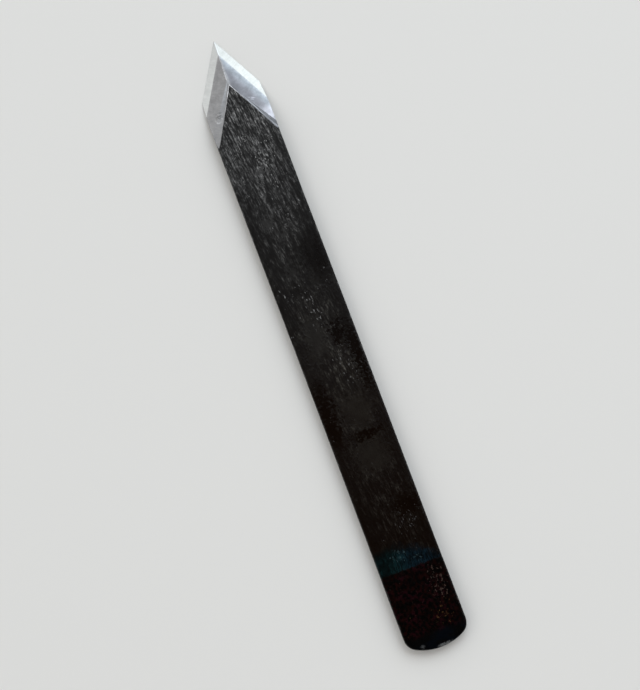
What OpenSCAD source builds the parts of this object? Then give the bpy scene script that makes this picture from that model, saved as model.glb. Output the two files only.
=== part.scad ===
// Spear-point marking knife, forge-welded from two steels: a thick soft iron body
// on top and a thin hard steel layer underneath, which carries both cutting edges.
// The knife lies on its flat back. +Y runs to the tip, +X to its right seen from
// above, +Z up. The origin is the middle of the overall box, on the back. Millimetres.

/* [Bar] */
// Overall length, from the tip to the middle of the tail end
length = 180; // [140:1:230]
// Width of the bar
width = 18.2; // [15:0.1:24]
// Thickness of the two steels together
thickness = 3; // [2.4:0.1:4.5]
// Rounding of the long arrises and of the rim round the tail
arris_r = 0.35; // [0.1:0.05:0.6]

/* [Lamination] */
// Thickness of the hard steel, from the back to the weld
steel_t = 0.95; // [0.7:0.05:1.5]

/* [Point] */
// Angle of the left cutting edge from the long axis, in degrees
left_edge_angle = 30.8; // [26:0.1:36]
// Angle of the right cutting edge from the long axis, in degrees
right_edge_angle = 28; // [26:0.1:36]
// How far the tip stands to the right of the middle of the bar
tip_offset = 0.6; // [-1.5:0.1:1.5]
// Angle between the back and the left ground bevel, in degrees
left_bevel_angle = 26; // [20:0.5:35]
// Angle between the back and the right ground bevel, in degrees
right_bevel_angle = 24; // [20:0.5:35]

/* [Shoulders] */
// How far each side is ground in where it meets its cutting edge
relief_depth = 0.5; // [0.3:0.05:0.8]
// Length of that ground facet, from the shoulder toward the tail
relief_length = 8; // [5:0.5:12]

/* [Hollow back] */
// Length of the hollow ground in the back
hollow_length = 23; // [16:0.5:28]
// Width of the hollow
hollow_width = 10.6; // [7:0.1:11]
// Depth of the hollow at its middle
hollow_depth = 0.3; // [0.15:0.05:0.5]
// Flat land left between the hollow and each cutting edge
hollow_land = 2; // [1:0.1:3]

/* [Tail] */
// Radius of the crowned tail end
tail_end_r = 15.3; // [13:0.1:40]
// Radius of the two tail corners
tail_corner_r = 4; // [2:0.1:5.5]

/* [Hidden] */

$fn = 96;
wheel_facets = 720;
iron_colour = [0.10, 0.10, 0.11];
steel_colour = [0.78, 0.81, 0.83];

half_w = width / 2;
y_tip = length / 2;
y_tail = -length / 2;
tip = [tip_offset, y_tip, 0];
// Cuts reach this far past the part
past = length + width + thickness;

// The tail: the corner arcs run tangent into the sides and into the end arc
y_end_centre = y_tail + tail_end_r;
x_corner = half_w - tail_corner_r;
y_corner = y_end_centre - sqrt(pow(tail_end_r - tail_corner_r, 2) - pow(x_corner, 2));
// Direction, from the long axis, in which the end arc meets each corner arc
tail_tangent_angle = asin(x_corner / (tail_end_r - tail_corner_r));

// The shoulders: where each cutting edge runs into its ground-in side
shoulder_x = half_w - relief_depth;
y_shoulder_left = y_tip - (shoulder_x + tip_offset) / tan(left_edge_angle);
y_shoulder_right = y_tip - (shoulder_x - tip_offset) / tan(right_edge_angle);
relief_angle = atan(relief_depth / relief_length);

// The hollow lies along the line that halves the point, as near the tip as the
// land beside each cutting edge lets it
half_point = (left_edge_angle + right_edge_angle) / 2;
point_lean = (right_edge_angle - left_edge_angle) / 2;
half_l_hollow = hollow_length / 2;
half_w_hollow = hollow_width / 2;
hollow_reach = sqrt(pow(half_l_hollow * sin(half_point), 2)
                    + pow(half_w_hollow * cos(half_point), 2));
hollow_setback = (hollow_reach + hollow_land) / sin(half_point);
// Radius whose arc has this half chord and this height
function arc_radius(half_chord, height) = (pow(half_chord, 2) + pow(height, 2)) / (2 * height);
wheel_r = arc_radius(half_l_hollow, hollow_depth);
crown_r = arc_radius(half_w_hollow, hollow_depth);
// The wheel's rim is deep and long enough to run out of the back all round
rim_depth = 2 * hollow_depth;
wheel_sweep = 1.3 * acos(1 - hollow_depth / wheel_r);

// Half of the bar's cross-section, from its middle out to a reach, both arrises round
module half_section(reach) {
    square([reach - arris_r, thickness]);
    translate([0, arris_r])
        square([reach, thickness - 2 * arris_r]);
    for (z = [arris_r, thickness - arris_r])
        translate([reach - arris_r, z])
            circle(r = arris_r);
}

// Disc with the same rounded rim as the bar's sides
module round_rimmed_disc(radius) {
    rotate_extrude()
        half_section(radius);
}

// The straight bar, from the tail corners forward
module bar() {
    translate([0, y_tip, 0])
        rotate([90, 0, 0])
            linear_extrude(height = y_tip - y_corner) {
                half_section(half_w);
                mirror([1, 0])
                    half_section(half_w);
            }
}

// The crowned tail end, with both of its corners
module tail() {
    translate([0, y_end_centre, 0])
        intersection() {
            round_rimmed_disc(tail_end_r);
            tail_wedge();
        }
    for (side = [-1, 1])
        translate([side * x_corner, y_corner, 0])
            round_rimmed_disc(tail_corner_r);
}

// Wedge between the two directions in which the end arc meets the corner arcs
module tail_wedge() {
    right_ray = past * [sin(tail_tangent_angle), -cos(tail_tangent_angle)];
    translate([0, 0, -past])
        linear_extrude(height = 2 * past)
            polygon([[0, 0], right_ray, [-right_ray.x, right_ray.y]]);
}

// All that lies above one bevel: its plane holds the cutting edge on the back
// and rises inward from it. A side of 1 is the right one, -1 the left one
module bevel_cut(side, edge_angle, bevel_angle) {
    translate(tip)
        rotate([0, 0, side * edge_angle])
            rotate([0, side * bevel_angle, 0])
                translate([-past, -past, 0])
                    cube([2 * past, 2 * past, past]);
}

// All that lies outside the facet that narrows one side toward its shoulder
module relief_cut(side, y_shoulder) {
    translate([side * shoulder_x, y_shoulder, 0])
        rotate([0, 0, side * relief_angle])
            translate([side > 0 ? 0 : -past, -past, -past])
                cube([past, 2 * past, 2 * past]);
}

// The rim of the crowned grinding wheel that hollows the back
module hollow_cut() {
    translate(tip)
        rotate([0, 0, point_lean])
            translate([0, -hollow_setback, hollow_depth - wheel_r])
                rotate([0, -90, 0])
                    rotate([0, 0, -wheel_sweep])
                        rotate_extrude(angle = 2 * wheel_sweep, $fn = wheel_facets)
                            wheel_rim();
}

// Section of that rim: the outermost cap of the crown's circle
module wheel_rim() {
    intersection() {
        translate([wheel_r - crown_r, 0])
            circle(r = crown_r, $fn = wheel_facets);
        translate([wheel_r - rim_depth, -half_w])
            square([rim_depth, width]);
    }
}

// The welded bar with its tail, sides and point shaped
module ground_bar() {
    difference() {
        union() {
            bar();
            tail();
        }
        relief_cut(1, y_shoulder_right);
        relief_cut(-1, y_shoulder_left);
        bevel_cut(1, right_edge_angle, right_bevel_angle);
        bevel_cut(-1, left_edge_angle, left_bevel_angle);
    }
}

// The part of the ground bar between two heights
module layer(bottom, top) {
    intersection() {
        ground_bar();
        translate([-half_w, y_tail, bottom])
            cube([width, length, top - bottom]);
    }
}

module soft_iron_body() {
    color(iron_colour)
        layer(steel_t, thickness);
}

module edge_steel() {
    color(steel_colour)
        difference() {
            layer(0, steel_t);
            hollow_cut();
        }
}

soft_iron_body();
edge_steel();
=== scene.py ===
"""Looks of the marking knife: a laminated steel bar with a ground spear point."""

import math

import bmesh
import bpy
from mathutils import Matrix, Vector, noise


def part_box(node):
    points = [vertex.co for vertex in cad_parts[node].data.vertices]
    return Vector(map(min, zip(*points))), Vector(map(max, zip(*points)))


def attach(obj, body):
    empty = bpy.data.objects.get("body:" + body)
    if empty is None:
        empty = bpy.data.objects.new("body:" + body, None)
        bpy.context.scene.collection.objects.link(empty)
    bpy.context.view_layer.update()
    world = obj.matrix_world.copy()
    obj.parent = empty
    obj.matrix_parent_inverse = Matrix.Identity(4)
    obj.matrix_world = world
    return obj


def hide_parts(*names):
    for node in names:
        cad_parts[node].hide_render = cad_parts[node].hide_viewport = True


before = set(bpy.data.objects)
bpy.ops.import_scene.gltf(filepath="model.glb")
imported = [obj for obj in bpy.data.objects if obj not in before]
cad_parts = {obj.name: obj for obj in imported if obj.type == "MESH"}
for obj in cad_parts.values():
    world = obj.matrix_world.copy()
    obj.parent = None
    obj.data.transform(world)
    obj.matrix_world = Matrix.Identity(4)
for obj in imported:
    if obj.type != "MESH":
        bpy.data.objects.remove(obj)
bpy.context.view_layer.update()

# ---------------------------------------------------------------- sizes, in millimetres

MM = 0.001
iron_low, iron_high = (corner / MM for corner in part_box("soft_iron_body"))
_, steel_high = (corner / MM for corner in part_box("edge_steel"))

THICKNESS = round(iron_high.z, 3)
WELD_Z = round(steel_high.z, 3)
HALF_WIDTH = round(iron_high.x, 3)
Y_TIP = round(steel_high.y, 3)
Y_TAIL = round(iron_low.y, 3)

# The bar behind the point is a little narrower than its tail, and bows slightly
BAR_HALF_WIDTH = 9.0
FLARE_FROM, FLARE_TO = -56.0, -76.0
SWAY = 0.09
SWAY_FROM, SWAY_TO = 62.0, -74.0

# The top falls off toward the sides
CROWN_WIDTH = 1.8
CROWN_DROP = 0.06
ARRIS_R = 0.35

# Depth of the broad and small dents that the forge left in the top, and of those in the sides
BROAD_DENT = 0.07
SMALL_DENT = 0.03
SIDE_DENT = 0.05
# The top's dents grow from this height up, and the sides' between these distances from the middle
DENTS_FROM_Z = 0.2
SIDE_FROM, SIDE_TO = 8.0, 8.8
# Toward the point the sides' dents fade out, and the top's lose this share of their depth
TOP_FADE = 0.75
FADE_FROM, FADE_TO = 40, 66

TAIL_END_R = 15.3
TAIL_CORNER_R = 4.0

TIP = Vector((0.6, Y_TIP, 0.0))
EDGE_ANGLE = {"left": 30.8, "right": 28.0}
BEVEL_ANGLE = {"left": 26.0, "right": 24.0}
SIDE = {"left": -1, "right": 1}
RELIEF_DEPTH = 0.5
RELIEF_LENGTH = 8.0
# How deep the ridge is worn at its upper end
RIDGE_WEAR = 0.035
# Height of the top face by the bevels, a little below the highest places
TOP_Z = THICKNESS - 0.015

HOLLOW_LENGTH = 23.0
HOLLOW_WIDTH = 10.6
HOLLOW_DEPTH = 0.3
HOLLOW_LAND = 2.0

# Spacing of the mesh along and across the bar, and steps of its round places
STEP_ALONG = 0.8
COLUMNS = 22
ARRIS_STEPS = 5
CROWN_STEPS = 6
TAIL_STEPS = 12
HOLLOW_CIRCLES = 20
HOLLOW_TURNS = 112
# The plain bar starts this far before the tip, and the cutter of the hollow is
# this many times the hollow's size
FRONT_SPARE = 2
CUTTER_SHARE = 1.12

# Kinds of surface, in the order of the material slots while a piece is built
SCALE, BEVEL, WORN, RELIEF, WELD, BACK, HOLLOW = range(7)

# Smaller planes of the point, each through three places on one bevel: distance from the tip
# along the cutting edge, distance in from it, and height where it isn't the bevel's own.
# The left bevel runs out in a shallower facet, the right one in a narrow one at its low end
LEFT_FACET = ((14, 6.70, TOP_Z), (24, 7.03, TOP_Z), (20, 5.22))
RIGHT_FACET = ((17, 6.40), (26, 5.62), (26, 6.70, 2.93))
# Thin worn planes between the bevels and the top face, which carry a painted highlight
LEFT_WORN = ((11, 6.66, TOP_Z), (18, 6.86, TOP_Z), (11, 5.66, TOP_Z - 0.15))
RIGHT_WORN = ((11, 6.75, TOP_Z), (26, 6.79, TOP_Z), (18, 6.60))


def smoothstep(low, high, value):
    """0 at low, 1 at high, with a smooth turn between them."""
    t = min(max((value - low) / (high - low), 0.0), 1.0)
    return t * t * (3 - 2 * t)


def unevenness(place):
    """Smooth noise about a half, from 0 to 1."""
    return 0.5 + 0.5 * noise.noise(place)


# ---------------------------------------------------------------- the bar's mesh


def crown_height(inset):
    """Height of the top face at a distance in from the side."""
    if inset >= CROWN_WIDTH:
        return THICKNESS
    return THICKNESS - CROWN_DROP * (1 - inset / CROWN_WIDTH) ** 2


def rim_rows():
    """(inset, height) of the rings round the bar, from the back up to the crown's inner end."""
    rows = []
    for k in range(ARRIS_STEPS + 1):
        angle = math.pi / 2 * k / ARRIS_STEPS
        rows.append((ARRIS_R * (1 - math.sin(angle)), ARRIS_R * (1 - math.cos(angle))))
    slope = math.atan(2 * CROWN_DROP / CROWN_WIDTH)
    meet = ARRIS_R * (1 - math.sin(slope))
    centre_z = crown_height(meet) - ARRIS_R * math.cos(slope)
    for z in (WELD_Z, 0.5 * (WELD_Z + centre_z)):
        rows.append((0.0, z))
    for k in range(ARRIS_STEPS + 1):
        angle = (math.pi / 2 - slope) * k / ARRIS_STEPS
        rows.append(
            (ARRIS_R * (1 - math.cos(angle)), centre_z + ARRIS_R * math.sin(angle))
        )
    for k in range(1, CROWN_STEPS + 1):
        inset = meet + (CROWN_WIDTH - meet) * k / CROWN_STEPS
        rows.append((inset, crown_height(inset)))
    return rows


def half_outline(inset):
    """The bar's right side in plan at an inset, from before the tip to the middle of the tail."""
    end_centre = Y_TAIL + TAIL_END_R
    reach = TAIL_END_R - TAIL_CORNER_R
    corner_x = HALF_WIDTH - TAIL_CORNER_R
    corner_y = end_centre - math.sqrt(reach**2 - corner_x**2)
    turn = math.asin(corner_x / reach)
    front = Y_TIP + FRONT_SPARE
    points = []
    count = round((front - corner_y) / STEP_ALONG)
    for k in range(count):
        y = front + (corner_y - front) * k / count
        points.append((HALF_WIDTH - inset, y))
    for k in range(TAIL_STEPS):
        angle = (math.pi / 2 - turn) * k / TAIL_STEPS
        radius = TAIL_CORNER_R - inset
        points.append((corner_x + radius * math.cos(angle), corner_y - radius * math.sin(angle)))
    for k in range(TAIL_STEPS):
        angle = turn * (1 - k / TAIL_STEPS)
        radius = TAIL_END_R - inset
        points.append((radius * math.sin(angle), end_centre - radius * math.cos(angle)))
    return points, (0.0, end_centre - (TAIL_END_R - inset))


def ring(bm, inset, z):
    """One line round the bar, from its right front corner round the tail to the left one."""
    points, last = half_outline(inset)
    outline = points + [last] + [(-x, y) for x, y in reversed(points)]
    return [bm.verts.new((x, y, z)) for x, y in outline]


def join(bm, low_ring, high_ring, kind):
    """Faces between two rings."""
    for k in range(len(low_ring) - 1):
        face = bm.faces.new((low_ring[k], low_ring[k + 1], high_ring[k + 1], high_ring[k]))
        face.material_index = kind


def top_cap(bm, rim):
    """Rows of faces across the bar, each between a rim point and its mirror point."""
    half = len(rim) // 2
    rows = []
    for k in range(half):
        right, left = rim[k], rim[-1 - k]
        row = [right]
        for column in range(1, COLUMNS):
            row.append(bm.verts.new(right.co.lerp(left.co, column / COLUMNS)))
        rows.append(row + [left])
    for first, second in zip(rows, rows[1:]):
        for k in range(COLUMNS):
            bm.faces.new((first[k], second[k], second[k + 1], first[k + 1]))
    for k in range(COLUMNS):
        bm.faces.new((rows[-1][k], rim[half], rows[-1][k + 1]))
    return rows[0]


def plain_bar():
    """The bar before its point is ground, a little longer than the knife in front."""
    bm = bmesh.new()
    rings = [ring(bm, inset, z) for inset, z in rim_rows()]
    for low_ring, high_ring in zip(rings, rings[1:]):
        join(bm, low_ring, high_ring, SCALE)
    back = bm.faces.new(rings[0])
    back.material_index = BACK
    front_row = top_cap(bm, rings[-1])
    right_front = [r[0] for r in rings]
    left_front = [r[-1] for r in reversed(rings)]
    bm.faces.new(right_front + front_row[1:-1] + left_front)
    return bm


def worked_shape(point):
    """Where a point of the plain bar lies after forging: narrower, bowed and slightly uneven."""
    x, y, z = point
    flare = smoothstep(FLARE_FROM, FLARE_TO, y)
    x *= (BAR_HALF_WIDTH + (HALF_WIDTH - BAR_HALF_WIDTH) * flare) / HALF_WIDTH
    along = (y - SWAY_FROM) / (SWAY_TO - SWAY_FROM)
    if 0 < along < 1:
        x += SWAY * math.sin(math.pi * along) ** 2
    height = smoothstep(DENTS_FROM_Z, THICKNESS, z)
    near_point = smoothstep(FADE_FROM, FADE_TO, y)
    broad = unevenness((x / 10, y / 17, 3.7))
    small = unevenness((x / 2.6, y / 4.3, 8.1))
    dent = (BROAD_DENT * broad + SMALL_DENT * small) * (1 - TOP_FADE * near_point)
    side = smoothstep(SIDE_FROM, SIDE_TO, abs(x))
    pull = SIDE_DENT * unevenness((y / 9, 5.0 if x > 0 else 9.0, z / 3))
    pull *= side * (1 - near_point)
    return Vector((x - math.copysign(pull, x), y, z - dent * height))


# ---------------------------------------------------------------- grinding the point


def cut_off(bm, point, normal, kind):
    """Takes off what lies beyond a plane and closes the cut with one flat face."""
    everything = bm.verts[:] + bm.edges[:] + bm.faces[:]
    bmesh.ops.bisect_plane(
        bm, geom=everything, dist=1e-4, plane_co=point, plane_no=normal, clear_outer=True
    )
    rim = [edge for edge in bm.edges if len(edge.link_faces) == 1]
    if not rim:
        return
    made = bmesh.ops.holes_fill(bm, edges=rim, sides=0)
    for face in made["faces"]:
        face.material_index = kind


def cut_through(bm, first, second, third, kind):
    """Cuts off what lies above the plane through three points."""
    normal = (second - first).cross(third - first).normalized()
    normal *= math.copysign(1, normal.z)
    cut_off(bm, first, normal, kind)


def bevel_normal(name):
    """Upward normal of one ground bevel."""
    edge = math.radians(EDGE_ANGLE[name])
    tilt = math.radians(BEVEL_ANGLE[name])
    return Vector(
        (
            SIDE[name] * math.sin(tilt) * math.cos(edge),
            math.sin(tilt) * math.sin(edge),
            math.cos(tilt),
        )
    )


def relief_plane(name):
    """Point and outward normal of the facet that narrows one side toward its shoulder."""
    side = SIDE[name]
    shoulder_x = HALF_WIDTH - RELIEF_DEPTH
    reach = shoulder_x - side * TIP.x
    shoulder_y = Y_TIP - reach / math.tan(math.radians(EDGE_ANGLE[name]))
    lean = math.atan(RELIEF_DEPTH / RELIEF_LENGTH)
    point = Vector((side * shoulder_x, shoulder_y, 0))
    return point, Vector((side * math.cos(lean), math.sin(lean), 0))


def apex():
    """Where both bevels and the top face meet."""
    left, right = bevel_normal("left"), bevel_normal("right")
    ridge = left.cross(right)
    ridge *= math.copysign(1, ridge.z)
    return TIP + ridge * ((THICKNESS - TIP.z) / ridge.z)


def on_bevel(name, along, inward, height=None):
    """Point at a distance along one cutting edge from the tip and a distance in from it."""
    edge = math.radians(EDGE_ANGLE[name])
    if height is None:
        height = inward * math.tan(math.radians(BEVEL_ANGLE[name]))
    x = TIP.x + SIDE[name] * (math.sin(edge) * along - math.cos(edge) * inward)
    y = TIP.y - math.cos(edge) * along - math.sin(edge) * inward
    return Vector((x, y, height))


def cut_facet(bm, name, places, kind):
    """Cuts off what lies above the plane through three places on one bevel."""
    cut_through(bm, *(on_bevel(name, *place) for place in places), kind)


def grind_point(bm):
    """Cuts the side facets and both bevels, then the smaller facets and worn edges on them."""
    for name in SIDE:
        cut_off(bm, *relief_plane(name), RELIEF)
    for name in SIDE:
        cut_off(bm, TIP, bevel_normal(name), BEVEL)
    cut_facet(bm, "left", LEFT_FACET, BEVEL)
    cut_facet(bm, "right", RIGHT_FACET, RELIEF)
    middle = (bevel_normal("left") + bevel_normal("right")).normalized()
    worn_apex = apex() - middle * RIDGE_WEAR
    across = middle.cross(worn_apex - TIP)
    cut_through(bm, TIP, worn_apex, TIP + across, WORN)
    cut_facet(bm, "right", RIGHT_WORN, WORN)
    cut_facet(bm, "left", LEFT_WORN, WORN)


# ---------------------------------------------------------------- the hollow in the back


def hollow_place():
    """Turn and move that put the hollow as near the tip as the land beside it lets it."""
    half_point = math.radians((EDGE_ANGLE["left"] + EDGE_ANGLE["right"]) / 2)
    lean = math.radians((EDGE_ANGLE["right"] - EDGE_ANGLE["left"]) / 2)
    reach = math.hypot(
        HOLLOW_LENGTH / 2 * math.sin(half_point), HOLLOW_WIDTH / 2 * math.cos(half_point)
    )
    setback = (reach + HOLLOW_LAND) / math.sin(half_point)
    return (
        Matrix.Translation(TIP)
        @ Matrix.Rotation(lean, 4, "Z")
        @ Matrix.Translation((0, -setback, 0))
    )


def hollow_cutter():
    """A lens whose upper side is the hollow's floor."""
    bm = bmesh.new()
    rings = []
    for k in range(1, HOLLOW_CIRCLES + 1):
        share = CUTTER_SHARE * k / HOLLOW_CIRCLES
        rim = []
        for turn in range(HOLLOW_TURNS):
            angle = 2 * math.pi * turn / HOLLOW_TURNS
            x = HOLLOW_WIDTH / 2 * share * math.cos(angle)
            y = HOLLOW_LENGTH / 2 * share * math.sin(angle)
            rim.append(bm.verts.new((x, y, HOLLOW_DEPTH * (1 - share**2))))
        rings.append(rim)
    for inner, outer in zip(rings, rings[1:]):
        for k in range(HOLLOW_TURNS):
            following = (k + 1) % HOLLOW_TURNS
            bm.faces.new((inner[k], outer[k], outer[following], inner[following]))
    bm.faces.new(rings[0])
    bm.faces.new(list(reversed(rings[-1])))
    for face in bm.faces:
        face.material_index = HOLLOW
    bm.transform(hollow_place())
    bmesh.ops.recalc_face_normals(bm, faces=bm.faces)
    return bm


# ---------------------------------------------------------------- pieces


def scene_object(name, mesh):
    """A mesh as an object of the scene."""
    piece = bpy.data.objects.new(name, mesh)
    bpy.context.scene.collection.objects.link(piece)
    return piece


def mesh_from(bm, name):
    """A mesh with one empty material slot for each kind of surface."""
    bmesh.ops.recalc_face_normals(bm, faces=bm.faces)
    mesh = bpy.data.meshes.new(name)
    bm.to_mesh(mesh)
    bm.free()
    for _ in range(HOLLOW + 1):
        mesh.materials.append(None)
    return mesh


def finish_mesh(mesh, finishes):
    """Turns a mesh to metres, smooth within each kind of surface, with the finishes it needs."""
    bm = bmesh.new()
    bm.from_mesh(mesh)
    bmesh.ops.dissolve_degenerate(bm, edges=bm.edges, dist=1e-4)
    for face in bm.faces:
        face.smooth = True
    for edge in bm.edges:
        kinds = {face.material_index for face in edge.link_faces}
        edge.smooth = len(kinds) < 2
    used = sorted({face.material_index for face in bm.faces})
    materials = []
    for kind in used:
        if finishes[kind] not in materials:
            materials.append(finishes[kind])
    for face in bm.faces:
        face.material_index = materials.index(finishes[face.material_index])
    bm.transform(Matrix.Scale(MM, 4))
    mesh.materials.clear()
    for material in materials:
        mesh.materials.append(material)
    bm.to_mesh(mesh)
    bm.free()


def cut_hollow(piece):
    """Cuts the hollow out of the hard steel."""
    cutter = scene_object("hollow_cutter", mesh_from(hollow_cutter(), "hollow_cutter"))
    cut = piece.modifiers.new("hollow", "BOOLEAN")
    cut.operation = "DIFFERENCE"
    cut.solver = "EXACT"
    cut.object = cutter
    bpy.context.view_layer.update()
    seen = piece.evaluated_get(bpy.context.evaluated_depsgraph_get())
    mesh = bpy.data.meshes.new_from_object(seen)
    piece.modifiers.clear()
    piece.data = mesh
    bpy.data.objects.remove(cutter)


def build_knife(iron_finishes, steel_finishes):
    """Makes the whole ground bar and parts it at the weld into its two pieces."""
    bar = plain_bar()
    for vert in bar.verts:
        vert.co = worked_shape(vert.co)
    bmesh.ops.recalc_face_normals(bar, faces=bar.faces)
    grind_point(bar)
    weld = Vector((0, 0, WELD_Z))
    lower = bar.copy()
    cut_off(bar, weld, Vector((0, 0, -1)), WELD)
    cut_off(lower, weld, Vector((0, 0, 1)), WELD)

    iron = scene_object("iron_body", mesh_from(bar, "iron_body"))
    finish_mesh(iron.data, iron_finishes)
    steel = scene_object("steel_edge", mesh_from(lower, "steel_edge"))
    cut_hollow(steel)
    finish_mesh(steel.data, steel_finishes)
    steel.data.name = "steel_edge"
    return iron, steel


# ---------------------------------------------------------------- materials

# A noise seldom leaves this range
NOISE_LOW, NOISE_HIGH = 0.3, 0.7
# Ramps along the bar end a little past its tip and its tail
RAMP_END = 92


class Nodes:
    """Short ways to lay out one material. Lengths are in millimetres on the knife."""

    def __init__(self, name):
        self.material = bpy.data.materials.new(name)
        self.material.use_nodes = True
        self.tree = self.material.node_tree
        self.shader = self.tree.nodes["Principled BSDF"]
        place = self.tree.nodes.new("ShaderNodeTexCoord")
        self.place = self.vector("MULTIPLY", place.outputs["Object"], (1 / MM,) * 3)
        split = self.tree.nodes.new("ShaderNodeSeparateXYZ")
        self.tree.links.new(self.place, split.inputs[0])
        self.x, self.y, self.z = split.outputs

    def feed(self, socket, value):
        """Links or sets one input."""
        if isinstance(value, bpy.types.NodeSocket):
            self.tree.links.new(value, socket)
        elif isinstance(value, tuple) and len(value) == 3 and socket.type == "RGBA":
            socket.default_value = (*value, 1)
        else:
            socket.default_value = value

    def maths(self, operation, first, second=0.0):
        node = self.tree.nodes.new("ShaderNodeMath")
        node.operation = operation
        self.feed(node.inputs[0], first)
        self.feed(node.inputs[1], second)
        return node.outputs[0]

    def chain(self, operation, first, *others):
        """Several values taken together by one operation, from the first on."""
        for other in others:
            first = self.maths(operation, first, other)
        return first

    def times(self, *factors):
        return self.chain("MULTIPLY", *factors)

    def plus(self, *terms):
        return self.chain("ADD", *terms)

    def most(self, *values):
        return self.chain("MAXIMUM", *values)

    def minus(self, value, less):
        return self.maths("SUBTRACT", value, less)

    def vector(self, operation, first, second=(0, 0, 0)):
        node = self.tree.nodes.new("ShaderNodeVectorMath")
        node.operation = operation
        self.feed(node.inputs[0], first)
        self.feed(node.inputs[1], second)
        return node.outputs[0]

    def distance(self, point):
        """Distance of each place from a point."""
        node = self.tree.nodes.new("ShaderNodeVectorMath")
        node.operation = "DISTANCE"
        self.feed(node.inputs[0], self.place)
        self.feed(node.inputs[1], point)
        return node.outputs["Value"]

    def turned(self, scale, angle=0.0, shift=(0, 0, 0)):
        """Place turned about Z by an angle in degrees, then scaled along each axis."""
        spin = self.tree.nodes.new("ShaderNodeVectorRotate")
        spin.rotation_type = "Z_AXIS"
        self.feed(spin.inputs["Vector"], self.place)
        spin.inputs["Angle"].default_value = math.radians(angle)
        return self.vector("ADD", self.vector("MULTIPLY", spin.outputs[0], scale), shift)

    def grain(self, place, detail=2.0, roughness=0.5, distortion=0.0):
        """A noise that takes its size from the place's scale."""
        node = self.tree.nodes.new("ShaderNodeTexNoise")
        self.feed(node.inputs["Vector"], place)
        node.inputs["Scale"].default_value = 1.0
        node.inputs["Detail"].default_value = detail
        node.inputs["Roughness"].default_value = roughness
        node.inputs["Distortion"].default_value = distortion
        return node.outputs[0]

    def wandering(self, scale, reach, shift=(0, 0, 0), detail=3):
        """Place moved about by up to half a reach, for ragged borders."""
        node = self.tree.nodes.new("ShaderNodeTexNoise")
        self.feed(node.inputs["Vector"], self.turned((scale, scale, scale), 0, shift))
        node.inputs["Detail"].default_value = detail
        moved = self.vector("SUBTRACT", node.outputs["Color"], (0.5, 0.5, 0.5))
        return self.vector("ADD", self.place, self.vector("MULTIPLY", moved, (reach, reach, 0)))

    def span(self, value, low, high, to_low=0.0, to_high=1.0, smooth=True):
        """The value carried from one range to another, level outside it."""
        node = self.tree.nodes.new("ShaderNodeMapRange")
        node.interpolation_type = "SMOOTHSTEP" if smooth else "LINEAR"
        self.feed(node.inputs["Value"], value)
        self.feed(node.inputs["From Min"], low)
        self.feed(node.inputs["From Max"], high)
        self.feed(node.inputs["To Min"], to_low)
        self.feed(node.inputs["To Max"], to_high)
        return node.outputs[0]

    def swing(self, grain, low, high):
        """A noise carried evenly to the range between two levels."""
        return self.span(grain, NOISE_LOW, NOISE_HIGH, low, high, smooth=False)

    def soft_swing(self, grain, low, high):
        """A noise carried to the range between two levels, with more of it near both."""
        return self.span(grain, NOISE_LOW, NOISE_HIGH, low, high)

    def spot(self, place, x, y, half_x, half_y, soft=0.4):
        """1 inside an oval seen from above, 0 outside it."""
        away = self.vector("SUBTRACT", place, (x, y, 0))
        away = self.vector("MULTIPLY", away, (1 / half_x, 1 / half_y, 0))
        node = self.tree.nodes.new("ShaderNodeVectorMath")
        node.operation = "LENGTH"
        self.feed(node.inputs[0], away)
        return self.span(node.outputs["Value"], 1 + soft, 1 - soft)

    def spots(self, place, ovals, soft=0.4):
        """1 inside any of some ovals, each with its x, y, half width and half length."""
        return self.most(*(self.spot(place, *oval, soft) for oval in ovals))

    def ramp(self, value, stops, low=-RAMP_END, high=RAMP_END):
        """Colour or level that changes with a value, from (value, colour) stops."""
        node = self.tree.nodes.new("ShaderNodeValToRGB")
        self.feed(node.inputs[0], self.span(value, low, high, smooth=False))
        elements = node.color_ramp.elements
        while len(elements) < len(stops):
            elements.new(0.5)
        for element, (at, colour) in zip(elements, sorted(stops)):
            element.position = (at - low) / (high - low)
            level = colour if isinstance(colour, tuple) else (colour,) * 3
            element.color = (*level, 1)
        return node.outputs[0]

    def blend(self, share, first, second, kind="MIX"):
        node = self.tree.nodes.new("ShaderNodeMix")
        node.data_type = "RGBA"
        node.blend_type = kind
        node.clamp_factor = True
        self.feed(node.inputs[0], share)
        self.feed(node.inputs[6], first)
        self.feed(node.inputs[7], second)
        return node.outputs[2]

    def tinted(self, colour, level):
        """A colour times a level or another colour."""
        return self.blend(1, colour, level, "MULTIPLY")

    def relief(self, height, depth):
        """Bump whose height of 1 stands this many millimetres proud."""
        node = self.tree.nodes.new("ShaderNodeBump")
        node.inputs["Strength"].default_value = 1.0
        node.inputs["Distance"].default_value = depth * MM
        self.feed(node.inputs["Height"], height)
        return node.outputs[0]

    def done(self, colour, roughness, normal=None, metallic=0.0, specular=0.5):
        """Sets the shader's inputs and gives the material."""
        self.feed(self.shader.inputs["Base Color"], colour)
        self.feed(self.shader.inputs["Roughness"], roughness)
        self.feed(self.shader.inputs["Metallic"], metallic)
        self.shader.inputs["Specular IOR Level"].default_value = specular
        if normal is not None:
            self.feed(self.shader.inputs["Normal"], normal)
        return self.material


# ---------------------------------------------------------------- the forge scale

# Brightness of the scale at places along the bar, down its middle and near its sides, and the
# distances from the middle between which one passes into the other. The middle is brighter than
# the sides by painted sheen; the rise toward the point is partly grey worn scale, partly painted
# sheen
MIDDLE_TO_SIDES = (3.2, 7.6)
SCALE_AND_SHEEN_MIDDLE = (
    (64, 0.045), (58, 0.04), (42, 0.025), (28, 0.00833), (16, 0.005),
    (0, 0.00625), (-25, 0.00292), (-45, 0.00292), (-60, 0.00183),
)
SCALE_AND_SHEEN_SIDES = (
    (64, 0.04), (58, 0.0317), (42, 0.0075), (25, 0.00333),
    (0, 0.00233), (-25, 0.001), (-45, 0.00133), (-60, 0.001),
)
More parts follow.
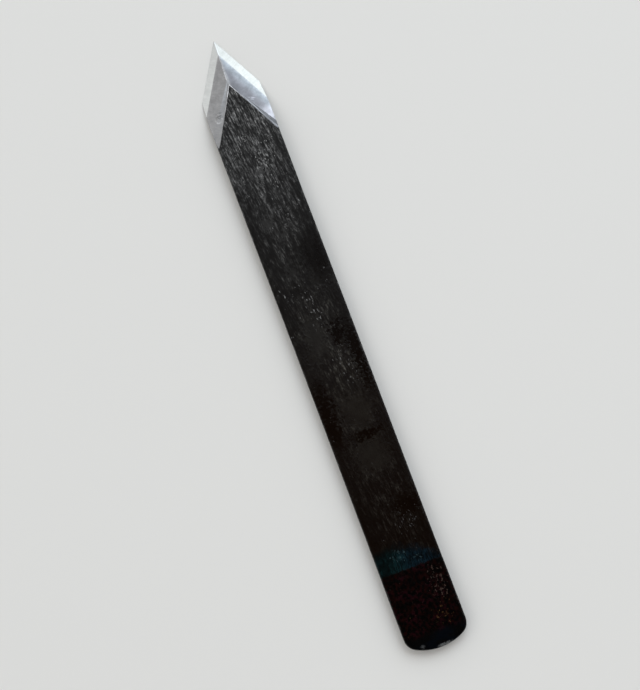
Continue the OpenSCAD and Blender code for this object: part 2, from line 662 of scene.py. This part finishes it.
# Toward the tail the scale is darker and browner: a tint for its grey, and a warm
# colour that is added to it
SCALE_TINT = ((40, (1.0, 1.0, 1.0)), (-20, (1.0, 0.95, 0.80)))
SCALE_WARMTH = (
    (58, (0.00033, 0.0, 0.0)), (5, (0.00167, 0.00042, 0.0)), (-20, (0.00283, 0.00075, 0.0)),
)
SCALE_ROUGHNESS = ((64, 0.46), (30, 0.38), (0, 0.33), (-25, 0.28), (-50, 0.23), (-70, 0.18))
FLECK_BRIGHTNESS = ((64, 0.30), (30, 0.20), (0, 0.13), (-40, 0.07), (-70, 0.04))
# Brightness of the grain for the values of its noise
GRAIN_LEVEL = ((0.30, 0.04), (0.43, 0.30), (0.52, 0.95), (0.61, 2.1), (0.72, 4.0))
# Colour of bare metal on the arrises, also used for the painted highlight on the tail's rim
BARE_METAL_AND_HIGHLIGHT = (0.1, 0.104, 0.104)
# Where along the bar the scale turns fibrous, its mottle weaker and its thick flecks thicker
FIBROUS_FROM = (34, 52)
CALMER_FROM = (20, 50)
THICKER_FROM = (34, 50)

# Patches of the scale, the brighter ones painted sheen: x, y, half width, half length,
# brightness, smoothness
SCALE_AND_SHEEN_PATCHES = (
    (-0.2, 50.3, 1.3, 1.6, 1.1, 0.9),
    (-3.6, 35.8, 1.7, 1.6, 1.2, 1.0),
    (-1.0, 31.8, 1.6, 2.0, 1.3, 0.9),
    (-1.8, 21.2, 2.0, 2.2, 1.6, 0.9),
    (5.3, 24.0, 4.0, 6.5, 0.35, 0.6),
    (4.6, 16.5, 3.4, 2.6, 0.9, 0.8),
    (-2.2, 2.2, 3.0, 6.5, 1.6, 1.0),
    (4.1, 1.4, 1.8, 3.8, 0.12, 0.6),
    (7.4, -7.0, 1.7, 10.0, 0.2, 0.7),
    (2.0, -10.0, 3.6, 6.5, 1.8, 0.0),
    (-5.3, -3.5, 2.0, 2.2, 1.3, 0.9),
    (1.3, -21.4, 4.4, 4.8, 1.8, 1.0),
    (-6.8, -20.1, 2.2, 9.7, 0.2, 0.7),
    (1.8, -27.9, 3.6, 1.3, 0.15, 0.6),
    (1.0, -33.8, 4.8, 5.2, 2.2, 1.0),
    (4.7, -50.1, 3.0, 3.2, 0.35, 0.7),
)
# Places where the bare metal shows through in many small flecks: x, y, half width, half length
FLECKED = (
    (2.0, 53.0, 2.3, 4.6),
    (-2.0, 60.5, 1.2, 1.6),
    (2.4, 36.0, 1.8, 4.0),
    (6.2, 18.0, 1.3, 3.5),
    (-5.4, 14.6, 2.4, 3.4),
    (0.4, 9.0, 2.2, 7.0),
    (2.9, -9.5, 2.8, 6.5),
    (3.4, -53.5, 3.4, 4.0),
)
# Where the upper arrises are: distance from the middle, and height
ARRIS_OUT = (8.55, 8.9)
ARRIS_UP = (2.2, 2.7)
# The tail's rim carries a painted highlight in one place and a fainter one in another, in the
# same terms as the flecked places, from this height up
RIM_UP = (2.1, 2.7)
RIM_HIGHLIGHT = (1.5, -89.65, 2.1, 0.45)
RIM_FAINT_HIGHLIGHT = (-4.8, -88.2, 0.6, 0.35)

# Heat tints. Where along the bar the teal band starts and ends, and the blue-black starts
TEAL_START = (-59.0, -62.4)
TEAL_STOP = (-66.5, -67.2)
BLUE_START = (-84.6, -86.2)
# The start of the teal band slants and bends across the bar
TEAL_SLANT = 0.30
TEAL_BEND = 0.03
# Where its colour brightens
TEAL_BRIGHTER = (-60.0, -63.0)
TEAL_LEFT = (0.0010, 0.0050, 0.0054)
TEAL_RIGHT = (0.0012, 0.0043, 0.0069)
RED_BROWN = (0.0029, 0.00038, 0.00028)
MAROON = (0.0026, 0.00028, 0.0006)
BLUE_BLACK = (0.00067, 0.00058, 0.00067)
NAVY = (0.0005, 0.00117, 0.0025)
# Places thick with pale specks on the teal and with gold ones on the red-brown. The gold
# specks end before the tail's end, and turn from a dull gold to a warm one
PALE_PLACES = ((-2.0, -62.6, 3.4, 2.4), (2.2, -65.0, 3.0, 1.2))
PALE_TEAL = (0.026, 0.046, 0.050)
GOLD_PLACES = ((5.4, -73.3, 3.0, 6.5), (3.4, -81.8, 3.0, 2.6))
GOLD_END = (-88.5, -86.0)
GOLD_TURNS = (-76, -79)
DULL_GOLD = (0.0417, 0.0283, 0.0233)
GOLD = (0.0458, 0.0233, 0.00833)


def specks(n, grain, thick, sparse_limit, thick_limit, border):
    """1 where a noise is above a limit, which is lower where the specks are thick."""
    limit = n.span(thick, 0, 1, sparse_limit, thick_limit, smooth=False)
    return n.span(n.minus(grain, limit), 0, border)


def scale_and_sheen_patches(n, level):
    """Even patches, the brighter ones painted sheen and the darker ones glossier, with ragged
    borders. Gives the level, evenness and gloss.
    """
    place = n.wandering(0.22, 9.0, detail=2)
    even, gloss = 0.0, 0.0
    for x, y, half_x, half_y, brightness, smoothness in SCALE_AND_SHEEN_PATCHES:
        inside = n.spot(place, x, y, half_x, half_y, 0.45)
        level = n.times(level, n.span(inside, 0, 1, 1, brightness, smooth=False))
        even = n.most(even, n.times(inside, smoothness))
        if brightness < 1:
            gloss = n.most(gloss, n.times(inside, 1 - brightness))
    return level, even, gloss


def scale_texture(n, even, fine, lines, broad):
    """Grain of the scale: thin and fibrous near the point, streaked farther back."""
    near_point = n.span(n.y, *FIBROUS_FROM)
    fibres = n.blend(
        near_point, n.span(lines, 0.36, 0.64, 0.55, 1.45), n.span(lines, 0.38, 0.62, 0.32, 1.70)
    )
    streaks = n.grain(n.turned((1.55, 0.34, 1.5), -7, (2, 4, 0)), detail=3, distortion=0.5)
    streak_level = n.blend(
        near_point,
        n.span(streaks, 0.38, 0.62, 0.28, 1.90),
        n.span(streaks, 0.38, 0.62, 0.62, 1.45),
    )
    grain_level = n.times(n.ramp(fine, GRAIN_LEVEL, 0, 1), fibres, streak_level)
    mottle = n.blend(
        n.span(n.y, *CALMER_FROM),
        n.span(broad, 0.34, 0.66, 0.45, 1.60),
        n.span(broad, 0.34, 0.66, 0.70, 1.30),
    )
    return n.times(
        n.blend(even, grain_level, n.swing(fine, 0.70, 1.35)),
        n.blend(even, mottle, n.soft_swing(broad, 0.75, 1.25)),
    )


def flecks(n):
    """Small flecks of bare metal, thick in a few places and sparse elsewhere."""
    place = n.wandering(0.35, 7.0, (8, 3, 0))
    drift = n.grain(n.turned((0.30, 0.22, 1), 20, (9, 4, 0)), detail=2)
    thick = n.most(n.spots(place, FLECKED, 0.6), n.span(drift, 0.52, 0.70, 0, 0.6))
    fleck = n.grain(n.turned((1.9, 0.85, 1), -8, (5, 2, 0)), detail=2, roughness=0.6)
    thick_limit = n.span(n.y, *THICKER_FROM, 0.60, 0.555)
    return specks(n, fleck, thick, 0.72, thick_limit, 0.07)


def heat_colours(n, colour):
    """A teal band across the tail, then red-brown with gold specks, then blue-black."""
    ragged = n.grain(n.turned((0.55, 0.45, 1), 0, (1, 7, 0)), detail=4, roughness=0.6)
    bank = n.grain(n.turned((0.20, 0.28, 1), 0, (6, 6, 0)), detail=3)
    streaky = n.grain(n.turned((2.6, 0.5, 1), 0, (3, 9, 0)), detail=3)
    crumbs = n.grain(n.turned((1.15, 0.85, 1), 0, (4, 1, 0)), detail=3, roughness=0.6)
    bright = n.grain(n.turned((1.4, 1.1, 1), 0, (2, 2, 0)), detail=3, roughness=0.6)
    about = n.wandering(0.5, 3.0)

    wobble = n.swing(ragged, -0.7, 0.7)
    slant = n.times(n.x, n.plus(n.times(n.x, TEAL_BEND), TEAL_SLANT))
    y_start = n.plus(n.y, n.times(wobble, 1.6), slant)
    y_stop = n.plus(n.y, n.times(wobble, 0.6))
    teal = n.times(n.span(y_start, *TEAL_START), n.span(y_stop, *reversed(TEAL_STOP)))
    teal_level = n.times(
        n.span(bank, 0.35, 0.65, 0.45, 1.5),
        n.span(streaky, 0.35, 0.70, 0.5, 2.2),
        n.span(n.y, *TEAL_BRIGHTER, 0.6, 1.05),
    )
    teal_tint = n.blend(n.span(n.x, -5, 2), TEAL_LEFT, TEAL_RIGHT)
    colour = n.blend(teal, colour, n.tinted(teal_tint, teal_level))

    red = n.span(y_stop, *TEAL_STOP)
    red_level = n.times(
        n.span(crumbs, 0.42, 0.62, 0.02, 2.3), n.span(bank, 0.35, 0.65, 0.5, 1.6)
    )
    red_tint = n.blend(n.span(bank, 0.48, 0.58), RED_BROWN, MAROON)
    colour = n.blend(red, colour, n.tinted(red_tint, red_level))

    pale = specks(n, bright, n.spots(about, PALE_PLACES), 0.75, 0.56, 0.09)
    colour = n.blend(n.times(pale, teal), colour, PALE_TEAL)

    golden = n.most(n.spots(about, GOLD_PLACES, 0.6), n.span(bank, 0.45, 0.7, 0.0, 0.5))
    gold = specks(n, bright, golden, 0.70, 0.545, 0.09)
    gold = n.times(gold, n.span(n.y, *GOLD_END), red)
    colour = n.blend(gold, colour, n.blend(n.span(n.y, *GOLD_TURNS), DULL_GOLD, GOLD))

    blue = n.span(n.plus(n.y, wobble), *BLUE_START)
    return n.blend(blue, colour, n.blend(n.span(bank, 0.42, 0.58), BLUE_BLACK, NAVY))


def bare_arrises_and_rim_highlight(n, from_middle):
    """1 where the arrises are rubbed down to the metal, and where a painted highlight lies on the
    tail's rim.
    """
    rub = n.grain(n.turned((1.1, 0.35, 1.1), 0, (6, 3, 0)), detail=4, roughness=0.65)
    on_arris = n.times(n.span(from_middle, *ARRIS_OUT), n.span(n.z, *ARRIS_UP))
    arris = n.times(on_arris, n.span(rub, 0.52, 0.64), n.span(n.y, -60, 50, 0.25, 0.8))
    at_rim = n.wandering(0.9, 1.6)
    rim = n.most(n.spot(at_rim, *RIM_HIGHLIGHT), n.times(n.spot(at_rim, *RIM_FAINT_HIGHLIGHT), 0.4))
    rim = n.times(rim, n.span(n.z, *RIM_UP), n.span(rub, 0.35, 0.55, 0.3, 1))
    return n.most(arris, rim)


def forge_scale():
    """Black forge scale: grey worn grain and painted sheen behind the point, smooth and
    heat-tinted at the tail, with a painted highlight on the tail's rim.
    """
    n = Nodes("forge_scale")
    wander = n.grain(n.turned((0.11, 0.05, 0.1)), detail=2)
    fine = n.grain(n.turned((2.7, 0.85, 2.2), -8), detail=4, roughness=0.66, distortion=0.35)
    lines = n.grain(n.turned((3.0, 0.15, 2.4), -6, (7, 3, 0)), detail=2)
    broad = n.grain(n.turned((0.50, 0.30, 0.4), 12, (3, 1, 0)), detail=3, roughness=0.55)

    # Level of the scale along the bar: partly grey worn scale, partly painted sheen, and brighter
    # down the middle by painted sheen
    y_here = n.plus(n.y, n.swing(wander, -4, 4))
    middle = n.ramp(y_here, SCALE_AND_SHEEN_MIDDLE)
    sides = n.ramp(y_here, SCALE_AND_SHEEN_SIDES)
    from_middle = n.maths("ABSOLUTE", n.x)
    level = n.blend(n.span(from_middle, *MIDDLE_TO_SIDES), middle, sides)
    level, even, gloss = scale_and_sheen_patches(n, level)
    # The bar's side faces are calmer than its top
    on_side = n.times(n.span(from_middle, 8.6, 8.9), n.span(n.z, 2.75, 2.4))
    even = n.most(even, n.times(on_side, 0.65))

    grey = n.tinted(level, scale_texture(n, even, fine, lines, broad))
    grey = n.tinted(grey, n.ramp(n.y, SCALE_TINT))
    colour = n.blend(1, grey, n.ramp(n.y, SCALE_WARMTH), "ADD")
    fleck = n.times(flecks(n), n.span(even, 0, 1, 1, 0.35))
    colour = n.blend(fleck, colour, n.ramp(n.y, FLECK_BRIGHTNESS))
    colour = heat_colours(n, colour)
    # Bare metal on the arrises, and a painted highlight on the tail's rim
    colour = n.blend(bare_arrises_and_rim_highlight(n, from_middle), colour, BARE_METAL_AND_HIGHLIGHT)

    rough = n.times(n.ramp(n.y, SCALE_ROUGHNESS), n.swing(fine, 1.15, 0.85))
    rough = n.minus(rough, n.times(gloss, 0.12))
    height = n.plus(fine, n.times(lines, 0.6))
    height = n.times(height, n.span(even, 0, 1, 1, 0.12, smooth=False))
    height = n.plus(height, n.times(broad, 0.6))
    return n.done(colour, rough, n.relief(height, 0.045), specular=0.183)


# ---------------------------------------------------------------- the ground faces

# The same iron, and the same steel, get another colour on each bevel, and the right iron a bluer
# one low down: painted light and reflection that differ by side
PAINTED_LIGHT_IRON_LEFT = (0.292, 0.293, 0.300)
PAINTED_LIGHT_IRON_RIGHT_LOW = (0.272, 0.293, 0.318)
PAINTED_LIGHT_IRON_RIGHT_HIGH = (0.276, 0.278, 0.302)
PAINTED_LIGHT_STEEL_LEFT = (0.588, 0.606, 0.606)
PAINTED_LIGHT_STEEL_RIGHT = (0.482, 0.490, 0.470)
# Colour of the painted highlight on the thin worn edges
WORN_EDGE_HIGHLIGHT = (0.80, 0.79, 0.82)
FILED_METAL = (0.155, 0.158, 0.167)
BACK_METAL = (0.55, 0.558, 0.567)
BACK_BLACK = (0.0117, 0.0112, 0.0108)
HOLLOW_METAL = (0.44, 0.448, 0.457)

# A painted highlight at the right bevel's low end: its place, the distances from
# there between which it fades in, and how much brighter it is
LOW_END_HIGHLIGHT_AT = (8.2, 65.2, 2.2)
LOW_END_HIGHLIGHT_FADE = (3.4, 0.6)
LOW_END_HIGHLIGHT_GAIN = 2.1
# A small knock at the left bevel's low end, shown only in colour: a painted highlight on a pale
# crescent, which is part of a ring between two fades round this place, and a spot of painted
# shade
CRESCENT_AT = (-5.95, 68.3, 2.7)
CRESCENT_OUTER = (1.35, 1.0)
CRESCENT_INNER = (0.6, 0.95)
CRESCENT_TOP = (68.9, 67.9)
DENT_SHADE_SPOT = (-5.4, 69.2, 1.1, 0.9)
# Short scratches on the right bevel, each from one place in plan to another
SCRATCHES = (
    ((4.05, 71.35), (4.75, 71.15)),
    ((4.65, 71.20), (5.75, 70.60)),
    ((4.45, 70.75), (5.35, 70.25)),
)
SCRATCH_WIDTH = 0.19
# How far in from the right cutting edge a painted highlight line runs
HIGHLIGHT_LINE_INSET = 6.48
# Where along the back its black scale gives way to ground steel
BACK_GROUND = (40, 56)


def stroke(n, start, end, width):
    """1 on a thin line between two places in plan, 0 away from it."""
    path = Vector(end) - Vector(start)
    direction = path.normalized()
    length = path.length
    dx = n.minus(n.x, start[0])
    dy = n.minus(n.y, start[1])
    along = n.plus(n.times(dx, direction.x), n.times(dy, direction.y))
    off = n.minus(n.times(dy, direction.x), n.times(dx, direction.y))
    line = n.span(n.maths("ABSOLUTE", off), width, 0.2 * width)
    ends = n.times(n.span(along, -0.2, 0.4), n.span(along, length + 0.2, length - 0.4))
    return n.times(line, ends)


def hone_marks(n):
    """Fine marks square to each cutting edge."""
    left = n.grain(n.turned((0.7, 9, 1), EDGE_ANGLE["left"]), detail=3)
    right = n.grain(n.turned((0.7, 9, 1), -EDGE_ANGLE["right"]), detail=3)
    return n.blend(n.span(n.x, 0.55, 0.75), left, right)


def inward(n, name):
    """Distance in from one cutting edge, seen from above."""
    edge = math.radians(EDGE_ANGLE[name])
    across = n.times(n.minus(n.x, TIP.x), -SIDE[name] * math.cos(edge))
    back = n.times(n.minus(TIP.y, n.y), math.sin(edge))
    return n.plus(across, back)


def knock_highlight_and_shade(n, haze):
    """What the small knock adds to the left bevel's level: a painted highlight on a pale crescent
    and a spot of painted shade.
    """
    away = n.distance(CRESCENT_AT)
    crescent = n.times(
        n.span(away, *CRESCENT_OUTER), n.span(away, *CRESCENT_INNER), n.span(n.y, *CRESCENT_TOP)
    )
    pale = n.times(crescent, n.soft_swing(haze, 0.15, 0.9))
    dent_shade = n.times(n.spot(n.place, *DENT_SHADE_SPOT, 0.5), n.span(haze, 0.40, 0.60, -0.45, 0.05))
    return pale, dent_shade


def ground_iron():
    """Soft iron of the bevels: a matt grey haze, paler near the weld, with small wear, and
    painted reflection, highlights and shade.
    """
    n = Nodes("ground_iron")
    marks = hone_marks(n)
    cloud = n.grain(n.turned((0.45, 0.45, 0.45)), detail=3)
    haze = n.grain(n.turned((1.6, 1.6, 1.6), 0, (4, 0, 0)), detail=3, roughness=0.6)
    right = n.span(n.x, 0.4, 0.9)

    # Painted reflection: the iron's level falls off up each bevel, most on the right, with a rise
    # near the apex on the right and toward the bevels' low ends
    painted_reflection_left = n.span(n.z, WELD_Z, THICKNESS, 1.04, 0.95, smooth=False)
    near_apex = n.times(n.span(n.z, 1.9, 2.4), n.span(n.y, 75, 79, 0, 0.12))
    painted_reflection_right = n.plus(n.span(n.z, 1.0, 2.35, 1.10, 0.62), near_apex)
    near_weld = n.span(n.z, WELD_Z + 0.34, WELD_Z - 0.05)
    near_weld = n.times(near_weld, n.span(haze, 0.35, 0.65, 0.35, 1.0))
    level = n.plus(
        n.blend(right, painted_reflection_left, painted_reflection_right),
        n.times(near_weld, n.span(right, 0, 1, 0.12, 0.40)),
        n.span(n.y, 75, 66, 0, 0.15),
    )
    # Painted highlight at the right bevel's low end
    low_end_highlight = n.times(n.span(n.distance(LOW_END_HIGHLIGHT_AT), *LOW_END_HIGHLIGHT_FADE), right)
    level = n.times(
        level,
        n.span(low_end_highlight, 0, 1, 1, LOW_END_HIGHLIGHT_GAIN, smooth=False),
        n.swing(cloud, 0.90, 1.10),
        n.swing(haze, 0.93, 1.07),
        n.swing(marks, 0.94, 1.06),
    )
    scratched = n.span(haze, 0.35, 0.6, 0.3, 0.85)
    for start, end in SCRATCHES:
        level = n.plus(level, n.times(stroke(n, start, end, SCRATCH_WIDTH), scratched))
    # Painted highlight and shade of the small knock
    level = n.plus(level, *knock_highlight_and_shade(n, haze))

    # Painted reflection tint, bluer low on the right bevel, and another iron colour on each side
    right_reflection_tint = n.blend(n.span(n.z, 1.3, 2.1), PAINTED_LIGHT_IRON_RIGHT_LOW, PAINTED_LIGHT_IRON_RIGHT_HIGH)
    colour = n.tinted(n.blend(right, PAINTED_LIGHT_IRON_LEFT, right_reflection_tint), level)
    rough = n.soft_swing(cloud, 0.50, 0.42)
    return n.done(colour, rough, n.relief(marks, 0.0015), metallic=1.0)


def ground_steel():
    """Hard steel of the bevels: bright, with fine marks square to the edge, and a painted-light
    colour for each side.
    """
    n = Nodes("ground_steel")
    marks = hone_marks(n)
    cloud = n.grain(n.turned((0.6, 0.6, 0.6), 0, (4, 4, 0)), detail=3)
    level = n.times(
        n.swing(cloud, 0.93, 1.05), n.swing(marks, 0.93, 1.06), n.span(n.y, 88, 78, 0.90, 1.0)
    )
    # The steel's colour differs by side: painted light
    tint = n.blend(n.span(n.x, 0.5, 0.8), PAINTED_LIGHT_STEEL_LEFT, PAINTED_LIGHT_STEEL_RIGHT)
    rough = n.soft_swing(marks, 0.36, 0.29)
    return n.done(n.tinted(tint, level), rough, n.relief(marks, 0.0012), metallic=1.0)


def worn_edge_highlight():
    """Thin worn edges between the ground faces, with a painted highlight along them, brightest at
    the apex.
    """
    n = Nodes("worn_edge_highlight")
    rub = n.grain(n.turned((1.1, 1.1, 1.1), 0, (2, 9, 0)), detail=3, roughness=0.6)
    # On the left side the worn strip's painted highlight is brightest along its upper border
    left = n.span(n.x, -0.2, -0.5)
    border = n.span(n.z, TOP_Z - 0.085, TOP_Z - 0.045, 0.88, 1.7)
    level = n.times(
        n.span(rub, 0.38, 0.62, 0.40, 1.0),
        n.span(n.y, 70, 76, 0.5, 1.0),
        n.span(n.y, 86, 79, 0.55, 1.0),
        n.blend(left, (1, 1, 1), border),
    )
    # The painted highlight is brightest at the apex
    near_apex = n.span(n.distance(tuple(apex())), 1.5, 0.4)
    level = n.most(level, n.times(near_apex, 1.15))
    return n.done(n.tinted(WORN_EDGE_HIGHLIGHT, level), n.soft_swing(rub, 0.48, 0.38), metallic=0.2)


def filed_side():
    """Narrow facets at the shoulders: a duller grey with lines along them, and a painted
    highlight line on the right one.
    """
    n = Nodes("filed_side")
    lines = n.grain(n.turned((4.5, 0.35, 2.0), -EDGE_ANGLE["right"], (0, 5, 0)), detail=3)
    marks = n.grain(n.turned((1.2, 1.2, 9)), detail=3)
    off_line = n.maths("ABSOLUTE", n.minus(inward(n, "right"), HIGHLIGHT_LINE_INSET))
    # Painted highlight along a line on the right facet
    painted_highlight_line = n.times(n.span(off_line, 0.22, 0.08), n.span(n.x, 0.0, 1.0))
    level = n.times(
        n.span(lines, 0.36, 0.64, 0.65, 1.30),
        n.swing(marks, 0.85, 1.1),
        n.span(painted_highlight_line, 0, 1, 0.85, 1.9, smooth=False),
    )
    return n.done(n.tinted(FILED_METAL, level), 0.48, n.relief(lines, 0.006), metallic=1.0)


def ground_back():
    """Flat back: ground bright behind the point, with the black scale left in its low spots."""
    n = Nodes("ground_back")
    ragged = n.grain(n.turned((0.16, 0.10, 1), 0, (3, 3, 0)), detail=2)
    low_spots = n.grain(n.turned((0.9, 0.45, 1), 0, (2, 8, 0)), detail=5, roughness=0.65)
    fine = n.grain(n.turned((2.2, 0.6, 1), 0, (1, 5, 0)), detail=4, roughness=0.6)
    patchy = n.grain(n.turned((0.25, 0.12, 1), 0, (8, 8, 0)), detail=3)
    marks = n.grain(n.turned((8, 0.5, 1)), detail=3)

    along = n.plus(n.y, n.swing(ragged, -4, 4))
    ground = n.span(n.minus(low_spots, n.span(along, *BACK_GROUND, 0.74, 0.26)), -0.01, 0.04)
    rub_limit = n.span(patchy, 0.42, 0.65, 0.74, 0.60, smooth=False)
    rubbed = n.span(n.minus(fine, rub_limit), 0, 0.08)
    rubbed = n.times(rubbed, n.span(n.y, -60, 40, 0.08, 0.40))
    bare = n.most(ground, rubbed)

    steel = n.tinted(BACK_METAL, n.soft_swing(marks, 0.88, 1.06))
    grey = n.times(n.soft_swing(fine, 0.5, 1.8), n.span(patchy, 0.35, 0.65, 0.6, 1.7))
    colour = n.blend(bare, n.tinted(BACK_BLACK, grey), steel)
    rough = n.blend(bare, n.soft_swing(fine, 0.52, 0.40), n.soft_swing(marks, 0.36, 0.28))
    height = n.blend(bare, fine, n.span(marks, 0, 1, 0.95, 1.0, smooth=False))
    return n.done(colour, rough, n.relief(height, 0.02), metallic=bare, specular=0.21)


def hollow_ground():
    """Hollow of the back, with the marks of the grinding wheel along it."""
    n = Nodes("hollow_ground")
    marks = n.grain(n.turned((6, 0.30, 1), -1.4), detail=4, roughness=0.6)
    cloud = n.grain(n.turned((0.35, 0.2, 1), 0, (6, 2, 0)), detail=2)
    level = n.times(n.soft_swing(marks, 0.85, 1.08), n.soft_swing(cloud, 0.93, 1.04))
    rough = n.soft_swing(marks, 0.42, 0.32)
    return n.done(n.tinted(HOLLOW_METAL, level), rough, n.relief(marks, 0.003), metallic=1.0)


# ---------------------------------------------------------------- the two pieces

# One finish for each kind of surface that a piece has
shared = {
    SCALE: forge_scale(),
    WORN: worn_edge_highlight(),
    RELIEF: filed_side(),
    BACK: ground_back(),
}
iron_finish = ground_iron()
steel_finish = ground_steel()
iron_body, steel_edge = build_knife(
    {**shared, BEVEL: iron_finish, WELD: iron_finish},
    {**shared, BEVEL: steel_finish, WELD: steel_finish, HOLLOW: hollow_ground()},
)

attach(iron_body, "root")
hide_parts("soft_iron_body")
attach(steel_edge, "root")
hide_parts("edge_steel")

# ---------------------------------------------------------------- floor, light and camera

# In metres. The floor lies just under the back, so that the two never touch
FLOOR_HALF_SIZE = 4
FLOOR_Z = -0.00005
FLOOR_COLOUR = (0.78, 0.77, 0.75)

# The room is pale all round, and dark overhead toward the tail: colour by the
# cosine of the angle from that dark direction
DARK_TOWARD = Vector((0.0, -0.25, 0.97)).normalized()
SKY = (
    (0.0, (1.10, 1.095, 1.08)),
    (0.72, (1.03, 1.025, 1.01)),
    (0.92, (0.053, 0.048, 0.041)),
    (1.0, (0.031, 0.024, 0.016)),
)

KEY_FROM = Vector((0.46, 0.50, 0.73)).normalized()
KEY_DISTANCE = 1.6
KEY_SIZE = 1.45
KEY_RADIANCE = 1.30
KEY_COLOUR = (0.87, 1.0, 1.12)

CAMERA_DISTANCE = 0.9
CAMERA_FROM = Vector((-0.0334, -0.085, 1)).normalized()
CAMERA_TARGET = Vector((-1.77, -0.40, 1.5)) * MM
# How far the knife's tip leans to the left in the picture
CAMERA_ROLL = math.radians(20.70)
# Scale of the knife in the picture, and the picture's height in pixels
PIXELS_PER_MM = 3.613
PICTURE_HEIGHT = 690
SENSOR_HEIGHT = 36


def lay_floor():
    """A plain pale floor, much larger than the picture."""
    mesh = bpy.data.meshes.new("floor")
    bm = bmesh.new()
    bmesh.ops.create_grid(bm, x_segments=1, y_segments=1, size=FLOOR_HALF_SIZE)
    bm.to_mesh(mesh)
    bm.free()
    mesh.materials.append(Nodes("floor").done(FLOOR_COLOUR, 0.8))
    floor = scene_object("floor", mesh)
    floor.location.z = FLOOR_Z


def light_room():
    """World light whose colour depends on the angle from the dark direction."""
    world = bpy.data.worlds.new("studio")
    bpy.context.scene.world = world
    world.use_nodes = True
    tree = world.node_tree
    tree.nodes.clear()
    place = tree.nodes.new("ShaderNodeTexCoord")
    cosine = tree.nodes.new("ShaderNodeVectorMath")
    cosine.operation = "DOT_PRODUCT"
    cosine.inputs[1].default_value = DARK_TOWARD
    ramp = tree.nodes.new("ShaderNodeValToRGB")
    elements = ramp.color_ramp.elements
    while len(elements) < len(SKY):
        elements.new(0.5)
    for element, (cosine_at, colour) in zip(elements, SKY):
        element.position = cosine_at
        element.color = (*colour, 1)
    back = tree.nodes.new("ShaderNodeBackground")
    out = tree.nodes.new("ShaderNodeOutputWorld")
    tree.links.new(place.outputs["Generated"], cosine.inputs[0])
    tree.links.new(cosine.outputs["Value"], ramp.inputs["Fac"])
    tree.links.new(ramp.outputs["Color"], back.inputs["Color"])
    tree.links.new(back.outputs[0], out.inputs[0])


def hang_key_light():
    """A square lamp that faces the knife and has the same brightness all over."""
    lamp = bpy.data.lights.new("key_light", "AREA")
    lamp.shape = "SQUARE"
    lamp.size = KEY_SIZE
    lamp.energy = KEY_RADIANCE * math.pi * KEY_SIZE**2
    lamp.color = KEY_COLOUR
    holder = bpy.data.objects.new("key_light", lamp)
    bpy.context.scene.collection.objects.link(holder)
    holder.location = KEY_FROM * KEY_DISTANCE
    holder.rotation_mode = "QUATERNION"
    holder.rotation_quaternion = (-KEY_FROM).to_track_quat("-Z", "Y")


def set_camera():
    """A camera nearly overhead, turned so that the knife lies in the picture as in the photo."""
    data = bpy.data.cameras.new("camera")
    data.sensor_fit = "VERTICAL"
    data.sensor_height = SENSOR_HEIGHT
    data.lens = SENSOR_HEIGHT * PIXELS_PER_MM * (CAMERA_DISTANCE / MM) / PICTURE_HEIGHT
    data.clip_start = 0.01
    data.clip_end = 20
    camera = bpy.data.objects.new("camera", data)
    bpy.context.scene.collection.objects.link(camera)
    bpy.context.scene.camera = camera

    up = Vector((math.sin(CAMERA_ROLL), math.cos(CAMERA_ROLL), 0))
    up = (up - CAMERA_FROM * up.dot(CAMERA_FROM)).normalized()
    right = up.cross(CAMERA_FROM)
    turn = Matrix((right, up, CAMERA_FROM)).transposed()
    place = Matrix.Translation(CAMERA_TARGET + CAMERA_FROM * CAMERA_DISTANCE)
    camera.matrix_world = place @ turn.to_4x4()


lay_floor()
light_room()
hang_key_light()
set_camera()

scene = bpy.context.scene
scene.view_settings.view_transform = "Standard"
